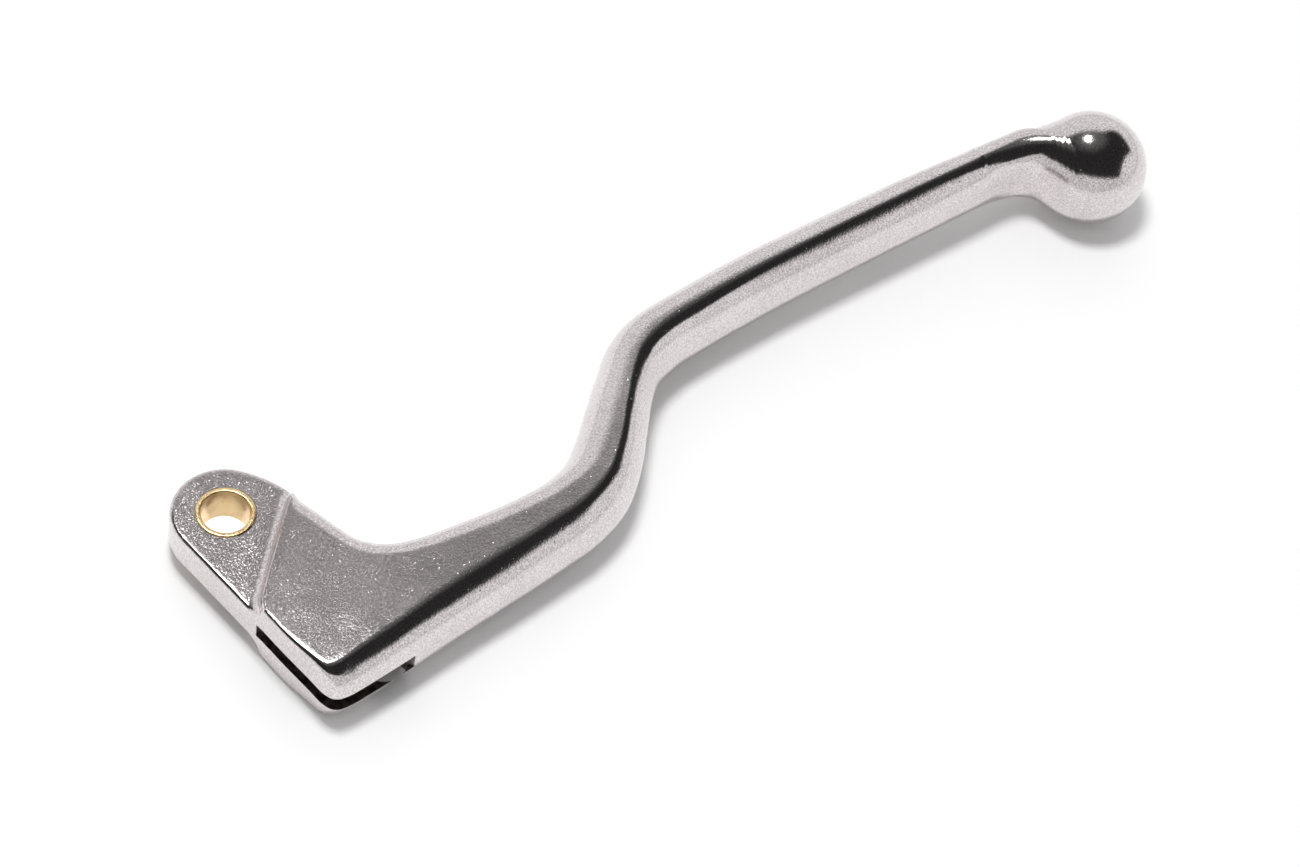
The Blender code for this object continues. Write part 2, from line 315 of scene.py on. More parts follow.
@dataclass(frozen=True)
class ForgedAluminium:
    """The lever's skin: a tumbled and polished forging with a fine sandy grain."""

    name: str = "forged_aluminium"
    colour: tuple[float, float, float] = (0.76, 0.706, 0.708)
    dull_colour: tuple[float, float, float] = (0.60, 0.556, 0.562)
    pit_colour: tuple[float, float, float] = (0.30, 0.27, 0.27)
    roughness: tuple[float, float] = (0.10, 0.16)
    sparkle_colour: tuple[float, float, float] = (0.86, 0.80, 0.80)
    speck_colour: tuple[float, float, float] = (0.56, 0.52, 0.525)
    speck_size: float = 0.30
    grain_size: float = 0.34
    grain_height: float = 13.0
    eye_coarseness: float = 1.75
    eye_to_head: tuple[float, float, float] = (0.755, -0.656, 0.0)
    step_start: float = 6.0
    step_end: float = 10.0
    peel_size: float = 0.7
    peel_height: float = 6.0
    pit_size: float = 1.5
    pit_height: float = 22.0
    pit_rim: tuple[float, float] = (0.03, 0.12)
    cloud_size: float = 9.0
    grain_in_mottle: float = 1.4
    mottle_range: tuple[float, float] = (0.95, 1.55)
    sparkle_range: tuple[float, float] = (0.5, 0.72)
    speck_range: tuple[float, float] = (0.5, 0.28)

    def build(self) -> bpy.types.Material:
        """Return the material."""
        surface = Surface(self.name, self.colour, metallic=1.0)
        cloud = surface.noise(self.cloud_size, Detail.RICH)
        grain = surface.noise(self.grain_size)
        peel = surface.noise(self.peel_size)
        pits = surface.spread(surface.cells(self.pit_size), *self.pit_rim, 1.0, 0.0)
        mottle = surface.math("ADD", cloud, surface.math("MULTIPLY", grain, self.grain_in_mottle))
        dulled = surface.spread(mottle, *self.mottle_range, 0.0, 1.0)
        skin = surface.tint(dulled, self.colour, self.dull_colour)
        specks = surface.noise(self.speck_size, Detail.PLAIN)
        for limits, colour in (
            (self.sparkle_range, self.sparkle_colour),
            (self.speck_range, self.speck_colour),
        ):
            skin = surface.blend(surface.spread(specks, *limits, 0.0, 1.0), skin, colour)
        skin = surface.blend(pits, skin, self.pit_colour)
        surface.dress("Base Color", skin)
        surface.dress("Roughness", surface.spread(grain, *NOISE_RANGE, *self.roughness))
        waved = surface.bump(peel, self.peel_height)
        coarse = surface.math("MULTIPLY", grain, self.coarseness(surface))
        grained = surface.bump(coarse, self.grain_height, waved)
        pitted = surface.bump(surface.math("SUBTRACT", 1.0, pits), self.pit_height, grained)
        surface.dress("Normal", pitted)
        return surface.material

    def coarseness(self, surface: Surface) -> bpy.types.NodeSocket:
        """Return how coarse the grain is at a place: more so on the thin eye than past the step."""
        inputs = {0: surface.place, 1: self.eye_to_head}
        product = surface.add("ShaderNodeVectorMath", inputs, operation="DOT_PRODUCT")
        limits = (self.step_start * MM, self.step_end * MM)
        return surface.spread(product.outputs["Value"], *limits, self.eye_coarseness, 1.0)


@dataclass(frozen=True)
class MachinedAluminium:
    """The sawn slot and drilled bores: painted dark as the shade inside them, dull, with the cutter's fine
    lines and random darker patches.
    """

    name: str = "machined_aluminium"
    # Painted shade: the slot's and bores' walls get this dark colour to stand for the shade inside them.
    colour: tuple[float, float, float] = (0.30, 0.26, 0.24)
    # Random patches painted darker still, over the painted shade.
    dark_patch_colour: tuple[float, float, float] = (0.12, 0.10, 0.09)
    dark_patch_size: float = 1.4
    dark_patch_range: tuple[float, float] = (0.4, 0.65)
    roughness: tuple[float, float] = (0.34, 0.52)
    line_pitch: float = 0.16
    line_height: float = 7.0
    line_stretch: float = 6.0

    def build(self) -> bpy.types.Material:
        """Return the material."""
        surface = Surface(self.name, self.colour, metallic=1.0)
        patches = surface.noise(self.dark_patch_size, Detail.RICH)
        dark_patch_share = surface.spread(patches, *self.dark_patch_range, 0.0, 1.0)
        # Base colour is painted shade inside the slot and bores, with random darker patches over it.
        surface.dress("Base Color", surface.tint(dark_patch_share, self.colour, self.dark_patch_colour))
        stretched = surface.mapped((1 / self.line_stretch, 1 / self.line_stretch, 1.0))
        lines = surface.noise(self.line_pitch, vector=stretched)
        surface.dress("Roughness", surface.spread(lines, *NOISE_RANGE, *self.roughness))
        surface.dress("Normal", surface.bump(lines, self.line_height))
        return surface.material


@dataclass(frozen=True)
class BearingBrass:
    """The bush: bright turned brass with rings on its ends and a coppery tarnish."""

    name: str = "bearing_brass"
    colour: tuple[float, float, float] = (0.90, 0.69, 0.38)
    tarnish: tuple[float, float, float] = (0.78, 0.46, 0.27)
    tarnish_size: float = 2.2
    tarnish_range: tuple[float, float] = (0.45, 0.75)
    most_tarnish: float = 0.8
    roughness: tuple[float, float] = (0.16, 0.30)
    ring_pitch: float = 0.12
    ring_height: float = 4.0
    ring_stretch: float = 5.0
    grain_size: float = 0.2
    grain_height: float = 4.0

    def build(self) -> bpy.types.Material:
        """Return the material."""
        surface = Surface(self.name, self.colour, metallic=1.0)
        patches = surface.noise(self.tarnish_size, Detail.RICH)
        tarnished = surface.spread(patches, *self.tarnish_range, 0.0, self.most_tarnish)
        surface.dress("Base Color", surface.tint(tarnished, self.colour, self.tarnish))
        along = surface.mapped((1 / self.ring_stretch, 1 / self.ring_stretch, 1.0))
        rings = surface.noise(self.ring_pitch, vector=along)
        grain = surface.noise(self.grain_size)
        surface.dress("Roughness", surface.spread(grain, *NOISE_RANGE, *self.roughness))
        turned = surface.bump(rings, self.ring_height)
        surface.dress("Normal", surface.bump(grain, self.grain_height, turned))
        return surface.material


@dataclass(frozen=True)
class StudioPaper:
    """The white sheet under the lever."""

    name: str = "studio_paper"
    colour: tuple[float, float, float] = (0.93, 0.93, 0.93)
    fibre_size: float = 1.2
    fibre_height: float = 6.0
    fibre_range: tuple[float, float] = (0.2, 0.8)
    roughness: tuple[float, float] = (0.75, 0.95)

    def build(self) -> bpy.types.Material:
        """Return the material."""
        surface = Surface(self.name, self.colour, metallic=0.0)
        fibre = surface.noise(self.fibre_size, Detail.RICH)
        surface.dress("Roughness", surface.spread(fibre, *self.fibre_range, *self.roughness))
        surface.dress("Normal", surface.bump(fibre, self.fibre_height))
        return surface.material


# ------------------------------------------------------------------------------------ lever


@dataclass(frozen=True)
class Density:
    """How finely the lever's skin is divided."""

    corner: int = 26
    face: int = 40
    top: int = 60
    upper: int = 68
    tip_cuts: int = 40
    fillet_cuts: int = 26
    step_cuts: int = 16
    spacing: float = 0.55
    ball_cuts: int = 44
    bore: int = 128


@dataclass(frozen=True)
class Cut:
    """One cut across the lever, from its rear side to its front side.

    A depth is how far a side bulges from the flat top, a radius is that of its upper corner, and a lean
    is how much longer a side's bulge is along the cut than square to the side.
    """

    rear: tuple[float, float]
    front: tuple[float, float]
    half_height: float
    rear_depth: float
    front_depth: float
    rear_radius: float
    front_radius: float
    rear_lean: float = 1.0
    front_lean: float = 1.0

    def values(self) -> list[float]:
        """Return every number of the cut as one row."""
        return [
            *self.rear,
            *self.front,
            self.half_height,
            self.rear_depth,
            self.front_depth,
            self.rear_radius,
            self.front_radius,
            self.rear_lean,
            self.front_lean,
        ]

    @staticmethod
    def of(row: list[float]) -> "Cut":
        """Return the cut that a row of numbers describes."""
        return Cut((row[0], row[1]), (row[2], row[3]), *row[4:])


@dataclass(frozen=True)
class Step:
    """The wall between the thin eye and the thick head, in plan and in height.

    In plan it runs straight across the lever, turns into the inboard side by a round corner, and draws
    back a little over its last stretch at the rear side, so that its end there is rounded off. In height
    it starts with a hollow fillet and ends with a small rounded edge.
    """

    normal: tuple[float, float] = (0.755, -0.656)
    offset: float = 9.5
    corner_radius: float = 7.6
    fillet_radius: float = 1.9
    wall_lean: float = 0.15
    edge_radius: float = 0.3
    rear_point: tuple[float, float] = (7.2, 6.3)
    rear_inward: tuple[float, float] = (-0.854, -0.52)
    rear_reach: float = 3.2
    rear_rounding: float = 1.3

    def depth(self, x: float, y: float, side_point: Vector, side_normal: Vector) -> float:
        """Return how far a point is inside the head's outline, or minus how far outside.

        Args:
            x: The point's place along the lever.
            y: The point's place across the lever.
            side_point: A point on the inboard side.
            side_normal: The inboard side's normal into the lever.

        Returns:
            The distance.
        """
        normal = Vector(self.normal)
        across = normal.x * x + normal.y * y - self.offset
        from_rear = (Vector((x, y)) - Vector(self.rear_point)).dot(Vector(self.rear_inward))
        closeness = min(max(1 - from_rear / self.rear_reach, 0.0), 1.0)
        across -= self.rear_rounding * closeness**2
        inside = (Vector((x, y)) - side_point).dot(side_normal)
        mix = normal.dot(side_normal)
        short_across = self.corner_radius - across
        short_inside = self.corner_radius - inside
        first = short_across - short_inside * mix
        second = short_inside - short_across * mix
        if first <= 0.0 or second <= 0.0:
            return min(across, inside)
        square = short_across**2 + short_inside**2 - 2 * mix * short_across * short_inside
        return self.corner_radius - math.sqrt(square / (1 - mix * mix))

    def level(self, depth: float, low: float, high: float) -> float:
        """Return the half height at a depth, between the eye's and the head's.

        Args:
            depth: How far inside the head's outline the point is.
            low: The eye's half height.
            high: The head's half height.

        Returns:
            The half height there.
        """
        rise = high - low
        fillet = self.fillet_radius
        edge = self.edge_radius
        wall_end = -self.wall_lean
        start = wall_end - fillet
        if depth <= start:
            return low
        if depth < wall_end:
            run = (depth - start) / fillet
            return low + min(rise, fillet) * (1 - math.sqrt(max(1 - run * run, 0.0)))
        if depth >= edge:
            return high
        share = (depth - wall_end) / (edge - wall_end)
        return low + fillet + (rise - fillet) * math.sin(math.pi / 2 * share)


@dataclass
class ForgedLever:
    """Eye, step, head, blade and ball forged in one piece, then machined.

    Where the head's first cut takes over from the eye, the rear_columns of a cut's row (its rear depth,
    rear radius and rear lean) change sooner than the others.
    """

    eye_radius: float = 9.0
    eye_half_height: float = 3.3
    eye_edge_radius: float = 0.7
    cut_direction: tuple[float, float] = (-0.641, -0.767)
    cut_normal: tuple[float, float] = (0.767, -0.641)
    inboard_start: tuple[float, float] = (-8.78, -1.98)
    inboard_end: tuple[float, float] = (-2.1, -36.7)
    rear_start: tuple[float, float] = (6.7, 6.01)
    rear_end: tuple[float, float] = (12.0, -2.7)
    rear_bulge: float = 0.62
    step_foot: float = 9.3
    foot_run: float = 3.0
    bush_hole_radius: float = 5.03
    slot_height: float = 3.0
    slot_left_end: tuple[float, float] = (-4.75, -19.95)
    slot_right_end: tuple[float, float] = (14.4, -37.0)
    slot_reach: float = 26.0
    nipple_centre: tuple[float, float] = (10.4, -33.8)
    nipple_radius: float = 4.0
    nipple_top: float = 1.2
    cutter_overshoot: float = 1.0
    ball_centre: tuple[float, float] = (171.1, 0.2)
    ball_radius: float = 9.95
    ball_rear_angle: float = 98.0
    ball_front_angle: float = 142.0
    ball_corner_share: float = 0.4
    neck_follow: float = 0.75
    turn_weight: float = 3.0
    rear_columns: tuple[int, ...] = (5, 7, 9)
    ripple_height: float = 0.05
    ripple_size: float = 5.0
    sharp_angle: float = 38.0
    body: tuple[Cut, ...] = (
        Cut((11.9, -3.6), (-4.9, -21.9), 6.3, 4.0, 1.0, 3.6, 0.9),
        Cut((13.5, -7.1), (-3.9, -27.5), 6.42, 4.4, 1.0, 3.8, 0.9),
        Cut((15.0, -10.7), (-2.75, -33.3), 6.5, 4.6, 1.7, 3.9, 1.2),
        Cut((15.9, -12.7), (-2.1, -36.7), 6.55, 4.7, 2.8, 3.9, 2.1),
        Cut((16.6, -13.9), (-1.0, -38.6), 6.6, 4.7, 4.6, 3.9, 3.6),
        Cut((17.6, -15.0), (1.3, -39.1), 6.65, 4.7, 5.9, 3.9, 4.8),
        Cut((19.2, -16.3), (5.6, -38.6), 6.71, 4.7, 6.4, 3.9, 5.2),
        Cut((21.9, -17.5), (12.0, -37.6), 6.78, 4.7, 6.4, 3.9, 5.2),
        Cut((25.5, -18.2), (19.5, -36.2), 6.86, 4.7, 6.2, 4.0, 4.8),
        Cut((30.5, -18.4), (28.0, -34.7), 6.94, 4.8, 5.8, 4.0, 4.2),
        Cut((37.0, -18.5), (37.0, -33.2), 7.0, 5.0, 5.4, 4.2, 3.6),
        Cut((43.6, -18.2), (45.6, -31.6), 7.0, 5.2, 5.1, 4.3, 3.1),
        Cut((49.2, -17.4), (53.4, -29.8), 7.0, 5.4, 4.9, 4.5, 2.8),
        Cut((54.4, -15.3), (60.4, -26.4), 7.0, 5.8, 4.8, 4.7, 2.6),
        Cut((59.2, -11.2), (66.2, -20.9), 7.0, 5.9, 4.8, 4.8, 2.7),
        Cut((63.7, -6.6), (70.8, -15.0), 7.0, 5.8, 4.7, 4.8, 3.0),
        Cut((68.3, -1.9), (74.9, -9.8), 7.0, 5.6, 4.6, 4.7, 3.3),
        Cut((72.8, 2.3), (78.7, -6.3), 7.0, 5.5, 4.7, 4.6, 3.5),
        Cut((78.4, 5.3), (82.9, -4.4), 7.0, 5.4, 4.7, 4.5, 3.5),
        Cut((86.0, 6.9), (88.6, -3.1), 7.0, 5.4, 4.6, 4.4, 3.3),
        Cut((101.7, 8.9), (103.0, -1.2), 7.0, 5.4, 4.5, 4.4, 2.6),
        Cut((119.0, 10.2), (119.4, 0.3), 6.9, 5.4, 4.3, 4.3, 2.0),
        Cut((136.0, 11.0), (136.0, 1.6), 6.8, 5.0, 4.2, 4.1, 2.0),
        Cut((149.0, 10.9), (148.6, 2.6), 6.6, 4.2, 4.0, 3.6, 2.4),
        Cut((157.0, 10.6), (155.4, 3.2), 6.6, 3.9, 3.9, 3.6, 3.3),
        Cut((163.0, 10.4), (159.6, 1.9), 7.2, 4.6, 4.6, 4.0, 4.0),
    )
    step: Step = Step()
    density: Density = Density()
    skin_finish: ForgedAluminium = ForgedAluminium()
    # The cut finish paints the slot and bores dark, as the shade inside them.
    cut_finish: MachinedAluminium = MachinedAluminium()

    # ---- outlines of the eye

    def inboard_line(self) -> tuple[Vector, Vector]:
        """Return a point on the inboard side and its normal into the lever."""
        start = Vector(self.inboard_start)
        along = (Vector(self.inboard_end) - start).normalized()
        return start, Vector((-along.y, along.x))

    def crossing(self, offset: float, inset: float, front: bool) -> Vector:
        """Return where a cut meets the eye's outline moved inwards.

        Args:
            offset: The cut's distance from the pivot, towards the head.
            inset: How far the outline is moved inwards.
            front: True for the inboard side, False for the rear side.

        Returns:
            The place in plan.
        """
        normal = Vector(self.cut_normal)
        direction = Vector(self.cut_direction)
        radius = self.eye_radius - inset
        shrink = radius / self.eye_radius
        first = Vector(self.inboard_start if front else self.rear_start)
        last = Vector(self.inboard_end if front else self.rear_end)
        last -= first * (inset / self.eye_radius)
        first *= shrink
        sign = 1 if front else -1
        if offset < first.dot(normal):
            along = sign * math.sqrt(max(radius**2 - offset**2, 0.0))
            return normal * offset + direction * along
        share = (offset - first.dot(normal)) / (last.dot(normal) - first.dot(normal))
        place = first.lerp(last, share)
        if not front:
            place -= direction * (self.rear_bulge * 4 * share * max(1 - share, 0.0))
        return place

    def level_at(self, place: Vector, head_height: float) -> float:
        """Return the half height of the lever at a place in plan.

        Args:
            place: The place.
            head_height: The head's half height, which the step climbs to.

        Returns:
            The half height there.
        """
        point, normal = self.inboard_line()
        depth = self.step.depth(place.x, place.y, point, normal)
        return self.step.level(depth, self.eye_half_height, head_height)

    def edge_at(self, offset: float, head_height: float, front: bool) -> float:
        """Return the radius of the eye's upper edge, which grows at the rear where the step climbs.

        Args:
            offset: The cut's distance from the pivot, towards the head.
            head_height: The head's half height, which the step climbs to.
            front: True for the inboard side.

        Returns:
            The radius.
        """
        edge = self.eye_edge_radius
        if front:
            return edge
        level = self.level_at(self.crossing(offset, edge, front), head_height)
        climbed = (level - self.eye_half_height) / (head_height - self.eye_half_height)
        return edge + (self.body[0].rear_radius - edge) * climbed

    def edge_reach(self, offset: float, edge: float) -> float:
        """Return how much of its radius the upper edge has room for, which is less near the eye's tip."""
        return min(edge, self.eye_radius - abs(offset)) if offset < 0 else edge

    def eye_side(self, offset: float, head_height: float, front: bool) -> list[tuple[Vector, float]]:
        """Return one side of a cut through the eye, from its top to its middle height.

        Args:
            offset: The cut's distance from the pivot, towards the head.
            head_height: The head's half height, which the step climbs to.
            front: True for the inboard side.

        Returns:
            Places in plan with their heights.
        """
        edge = self.edge_at(offset, head_height, front)
        level = self.level_at(self.crossing(offset, edge, front), head_height)
        turn = math.acos(1 - self.edge_reach(offset, edge) / edge)
        points = []
        for index in range(self.density.corner):
            angle = turn * (1 - index / self.density.corner)
            place = self.crossing(offset, edge * (1 - math.cos(angle)), front)
            points.append((place, level - edge * (1 - math.sin(angle))))
        wall = self.crossing(offset, 0.0, front)
        for index in range(self.density.face + 1):
            points.append((wall, (level - edge) * (1 - index / self.density.face)))
        return points if front else self.lowered(points, level, head_height)

    # ---- rings

    def side_profile(self, half_height: float, depth: float, radius: float) -> Profile:
        """Return a side as (bulge, height) from the flat top down to the middle height.

        A small corner arc starts at the top, and a wider face arc carries on to the middle.

        Args:
            half_height: The height of the flat top.
            depth: How far the side bulges from the flat top.
            radius: The radius of the corner.

        Returns:
            The points of the side.
        """
        slack = max(depth - radius, 0.0)
        switch = math.pi / 2 - 2 * math.atan(slack / (half_height - radius))
        points = []
        for index in range(self.density.corner):
            angle = switch * index / self.density.corner
            points.append((radius * math.sin(angle), half_height - radius * (1 - math.cos(angle))))
        if slack < NO_SLACK:
            for index in range(self.density.face + 1):
                points.append((depth, (half_height - radius) * (1 - index / self.density.face)))
            return points
        face_radius = radius + (half_height - radius) / math.cos(switch)
        for index in range(self.density.face + 1):
            angle = switch + (math.pi / 2 - switch) * index / self.density.face
            bulge = depth - face_radius * (1 - math.sin(angle))
            points.append((bulge, face_radius * math.cos(angle)))
        return points

    def cut_side(self, cut: Cut, front: bool) -> list[tuple[Vector, float]]:
        """Return one side of a cut through the head or blade, from its top to its middle height.

        Args:
            cut: The cut.
            front: True for the front side.

        Returns:
            Places in plan with their heights.
        """
        rear = Vector(cut.rear)
        span = Vector(cut.front) - rear
        across = span.normalized()
        depth, radius, lean = (
            (cut.front_depth, cut.front_radius, cut.front_lean)
            if front
            else (cut.rear_depth, cut.rear_radius, cut.rear_lean)
        )
        both_bulges = cut.rear_depth * cut.rear_lean + cut.front_depth * cut.front_lean
        shrink = min(1.0, span.length / both_bulges)
        depth *= shrink
        radius = min(radius, depth)
        edge = Vector(cut.front) if front else rear
        inward = -across if front else across
        level = self.level_at(edge + inward * depth * lean, cut.half_height)
        points = []
        for bulge, height in self.side_profile(level, depth, radius):
            place = edge + inward * (depth - bulge) * lean
            points.append((place, height))
        return points if front else self.lowered(points, level, cut.half_height)

    def lowered(self, side: list, level: float, head_height: float) -> list[tuple[Vector, float]]:
        """Lower a rear side's points where the step, which rounds off there, is below the side's top."""
        return [(place, height * self.level_at(place, head_height) / level) for place, height in side]

    def ring(self, rear: list, front: list, head_height: float, tip_drop: float) -> Ring:
        """Join the two sides of a cut over its top and mirror them below.

        Args:
            rear: The rear side from its top to its middle height.
            front: The front side likewise.
            head_height: The half height that the step climbs to on this cut.
            tip_drop: How far the sides' tops are below the flat, which is 0 but at the eye's tip.

        Returns:
            The closed ring of points.
        """
        upper = list(reversed(rear))
        start, end = rear[0][0], front[0][0]
        for index in range(1, self.density.top):
            place = start.lerp(end, index / self.density.top)
            upper.append((place, self.level_at(place, head_height) - tip_drop))
        line = [Vector((*place, height)) for place, height in upper + front]
        upper = self.respaced(self.without_doubles(line))
        lower = [Vector((point.x, point.y, -point.z)) for point in reversed(upper[1:-1])]
        return [tuple(point) for point in upper + lower]

    @staticmethod
    def without_doubles(points: list[Vector]) -> list[Vector]:
        """Return a line of points without those that lie on the one before.

        Args:
            points: The line.

        Returns:
            The points that are left.
        """
        kept = [points[0]]
        for point in points[1:]:
            if (point - kept[-1]).length > SAME_PLACE:
                kept.append(point)
        return kept

    def respaced(self, points: list[Vector]) -> list[Vector]:
        """Spread points along a line of points, closer together where it bends.

        Args:
            points: The line, with more points than are wanted.

        Returns:
            The same line with the number of points that the density asks for.
        """
        reached = [0.0]
        for index in range(1, len(points)):
            leg = points[index] - points[index - 1]
            bend = 0.0
            if index > 1:
                bend = (points[index - 1] - points[index - 2]).angle(leg)
            reached.append(reached[-1] + leg.length + self.turn_weight * bend)
        spread = [points[0]]
        index = 1
        for step in range(1, self.density.upper):
            wanted = reached[-1] * step / self.density.upper
            while reached[index] < wanted:
                index += 1
            share = (wanted - reached[index - 1]) / max(reached[index] - reached[index - 1], TINY)
            spread.append(points[index - 1].lerp(points[index], share))
        spread.append(points[-1])
        return spread

    def eye_ring(self, offset: float) -> Ring:
        """Return the ring of a cut through the eye."""
        head_height = self.body[0].half_height
        rear = self.eye_side(offset, head_height, front=False)
        front = self.eye_side(offset, head_height, front=True)
        edge = self.eye_edge_radius
        turn = math.acos(1 - self.edge_reach(offset, edge) / edge)
        drop = edge * (1 - math.sin(turn))
        return self.ring(rear, front, head_height, drop)

    def cut_ring(self, cut: Cut) -> Ring:
        """Return the ring of a cut through the head, the blade or the ball."""
        rear = self.cut_side(cut, front=False)
        front = self.cut_side(cut, front=True)
        return self.ring(rear, front, cut.half_height, 0.0)

    # ---- rows of rings

    def eye_rings(self) -> list[Ring]:
        """Return the rings from the eye's tip to the foot of the step."""
        fillet_start = self.step_foot - self.foot_run
        offsets = []
        for index in range(1, self.density.tip_cuts + 1):
            angle = math.pi / 2 * index / self.density.tip_cuts
            offsets.append(-self.eye_radius + (self.eye_radius + fillet_start) * (1 - math.cos(angle)))
        for index in range(1, self.density.fillet_cuts + 1):
            share = index / self.density.fillet_cuts
            offsets.append(fillet_start + (self.step_foot - fillet_start) * share)
        return [self.eye_ring(offset) for offset in offsets]

    def foot_cut(self) -> Cut:
        """Return the last cut of the eye in the form that the head's cuts have."""
        height = self.body[0].half_height
        ends = []
        edges = []
        leans = []
        for front in (False, True):
            end = self.crossing(self.step_foot, 0.0, front)
            edge = self.edge_at(self.step_foot, height, front)
            ends.append(tuple(end))
            edges.append(edge)
            leans.append((self.crossing(self.step_foot, edge, front) - end).length / edge)
        return Cut(*ends, height, *edges, *edges, *leans)

    def step_rings(self) -> list[Ring]:
        """Return the rings between the foot of the step and the head's first cut."""
        low = self.foot_cut().values()
        high = self.body[0].values()
        rings = []
        for index in range(1, self.density.step_cuts + 1):
            share = index / (self.density.step_cuts + 1)
            row = [a + (b - a) * share for a, b in zip(low, high)]
            early = 1 - (1 - share) ** 3
            for column in self.rear_columns:
                row[column] = low[column] + (high[column] - low[column]) * early
            rings.append(self.cut_ring(Cut.of(row)))
        return rings

    def ball_cut(self, left: float) -> Cut:
        """Return a cut of the ball.

        Args:
            left: How much of the ball is left, from 1 at the neck to 0 at the tip.

        Returns:
            The cut.
        """
        ends = []
        for degrees in (self.ball_rear_angle, -self.ball_front_angle):
            angle = math.radians(degrees * left)
            ray = Vector((math.cos(angle), math.sin(angle)))
            ends.append(Vector(self.ball_centre) + ray * self.ball_radius)
        radius = (ends[0] - ends[1]).length / 2
        corner = radius * self.ball_corner_share
        return Cut(tuple(ends[0]), tuple(ends[1]), radius, radius, radius, corner, corner)

    def ball_rings(self) -> list[Ring]:
        """Return the rings of the ball, up to near its tip."""
        count = self.density.ball_cuts
        return [self.cut_ring(self.ball_cut(1 - index / count)) for index in range(count)]

    def body_rings(self) -> list[Ring]:
        """Return the rings of the head and the blade, on smooth curves through their cuts."""
        rows = [cut.values() for cut in self.body]
        rows += [self.ball_cut(1.0).values(), self.ball_cut(self.neck_follow).values()]
        rings = []
        for index in range(len(rows) - 2):
            before = rows[max(index - 1, 0)]
            start = rows[index]
            end = rows[index + 1]
            after = rows[index + 2]
            run = max(math.dist(start[0:2], end[0:2]), math.dist(start[2:4], end[2:4]))
            count = max(2, math.ceil(run / self.density.spacing))
            for step in range(count):
                quads = zip(before, start, end, after)
                row = [catmull_rom(*four, step / count) for four in quads]
                rings.append(self.cut_ring(Cut.of(row)))
        return rings

    # ---- meshes

    def skin(self) -> bpy.types.Object:
        """Return the forging before machining, as one closed mesh."""
        rings = self.eye_rings() + self.step_rings() + self.body_rings() + self.ball_rings()
        eye_tip = Vector(self.cut_normal) * -self.eye_radius
        ball_tip = (self.ball_centre[0] + self.ball_radius, self.ball_centre[1], 0.0)
        mesh_data = bmesh.new()
        rows = [[mesh_data.verts.new(point) for point in ring] for ring in rings]
        count = len(rows[0])
        for row, following in zip(rows, rows[1:]):
            for index in range(count):
                after = (index + 1) % count
                mesh_data.faces.new((row[index], row[after], following[after], following[index]))
        for tip, row in (((*eye_tip, 0.0), rows[0]), (ball_tip, rows[-1])):
            pole = mesh_data.verts.new(tip)
            for index in range(count):
                mesh_data.faces.new((pole, row[index], row[(index + 1) % count]))
        bmesh.ops.scale(mesh_data, vec=(MM, MM, MM), verts=mesh_data.verts)
        bmesh.ops.recalc_face_normals(mesh_data, faces=mesh_data.faces)
        for face in mesh_data.faces:
            face.smooth = True
        mesh = bpy.data.meshes.new("lever_body")
        mesh_data.to_mesh(mesh)
        mesh_data.free()
        return in_scene("lever_body", mesh)

    def machine(self, piece: bpy.types.Object) -> bpy.types.Object:
        """Ripple the skin a little, then cut the bush hole, the nipple bore and the cable slot.

        Args:
            piece: The forging.

        Returns:
            The same object, machined, with both finishes on its faces.
        """
        tree = GeometryTree("lever_machining")
        skin_material = self.skin_finish.build()
        piece.data.materials.append(skin_material)
        skin_finish = tree.input("Skin Finish", Socket.MATERIAL, skin_material)
        cut_finish = tree.input("Cut Finish", Socket.MATERIAL, self.cut_finish.build())
        ripple_height = tree.input("Ripple Height", Socket.NUMBER, self.ripple_height * MM)
        ripple_scale = tree.input("Ripple Scale", Socket.NUMBER, 1 / (self.ripple_size * MM))
        noise = tree.add("ShaderNodeTexNoise", {"Scale": ripple_scale, "Detail": 1.0})
        centred = tree.math("SUBTRACT", noise.outputs["Fac"], 0.5)
        lift = tree.math("MULTIPLY", centred, ripple_height)
        normal = tree.add("GeometryNodeInputNormal").outputs["Normal"]
        push = tree.add("ShaderNodeVectorMath", {0: normal}, operation="SCALE")
        tree.feed(push.inputs["Scale"], lift)
        rippled = tree.add("GeometryNodeSetPosition", {"Geometry": tree.source()})
        tree.feed(rippled.inputs["Offset"], push.outputs["Vector"])
        shaped = rippled.outputs["Geometry"]
        for cutter in (self.bush_hole_cutter(tree), self.nipple_cutter(tree), self.slot_cutter(tree)):
            dressed = tree.add("GeometryNodeSetMaterial", {"Geometry": cutter, "Material": cut_finish})
            boolean = tree.add("GeometryNodeMeshBoolean", operation="DIFFERENCE", solver="EXACT")
            tree.feed(boolean.inputs["Mesh 1"], shaped)
            tree.feed(boolean.inputs["Mesh 2"], dressed.outputs["Geometry"])
            shaped = boolean.outputs["Mesh"]
        real = tree.add("GeometryNodeRealizeInstances", {"Geometry": shaped}).outputs["Geometry"]
        cut_faces = tree.add("GeometryNodeMaterialSelection", {"Material": cut_finish})
        skin_faces = tree.add("FunctionNodeBooleanMath", {0: cut_faces.outputs[0]}, operation="NOT")
        dressed = tree.add("GeometryNodeSetMaterial", {"Geometry": real, "Material": skin_finish})
        tree.feed(dressed.inputs["Selection"], skin_faces.outputs[0])
        tree.finish(dressed.outputs["Geometry"])
        return tree.run(piece)

